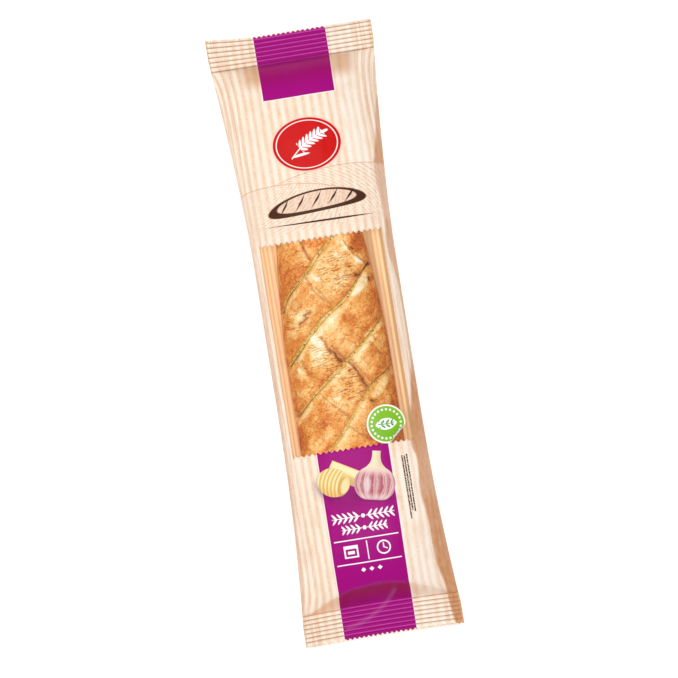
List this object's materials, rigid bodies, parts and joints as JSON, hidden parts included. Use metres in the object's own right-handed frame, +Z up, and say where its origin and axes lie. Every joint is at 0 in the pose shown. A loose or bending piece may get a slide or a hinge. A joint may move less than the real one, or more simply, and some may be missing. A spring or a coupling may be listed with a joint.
{
  "type": "garlic baguette in flow-wrap pack",
  "caption": "Part-baked garlic baguette with diagonal butter-filled cuts in a shut flow-wrap pack with crimped end seals, a pinked clear window and a round sticker.",
  "frame": {"origin": "on the table, under the middle of the pack's length and width", "axes": "+Y along the pack towards its head seal, +X to the right of the print, +Z up out of the printed side"},
  "size_m": [0.092, 0.3398, 0.0398],
  "materials": {
    "printed_film": "satin cream film with fine upright ribs, magenta bands and a pinked edge",
    "clear_film": "thin clear glossy film",
    "crust": "golden-brown baked crust, wrinkled and pale in patches",
    "garlic_butter": "soft yellow butter with chopped green herbs",
    "sticker": "glossy green paper label with a white rim and a white back"
  },
  "bodies": {
    "root": {"wrapper": "printed_film", "window_film": "clear_film", "baguette": "crust", "garlic_butter_1": "garlic_butter", "garlic_butter_2": "garlic_butter", "garlic_butter_3": "garlic_butter", "garlic_butter_4": "garlic_butter", "garlic_butter_5": "garlic_butter", "garlic_butter_6": "garlic_butter", "round_sticker": "sticker"}
  },
  "joints": []
}
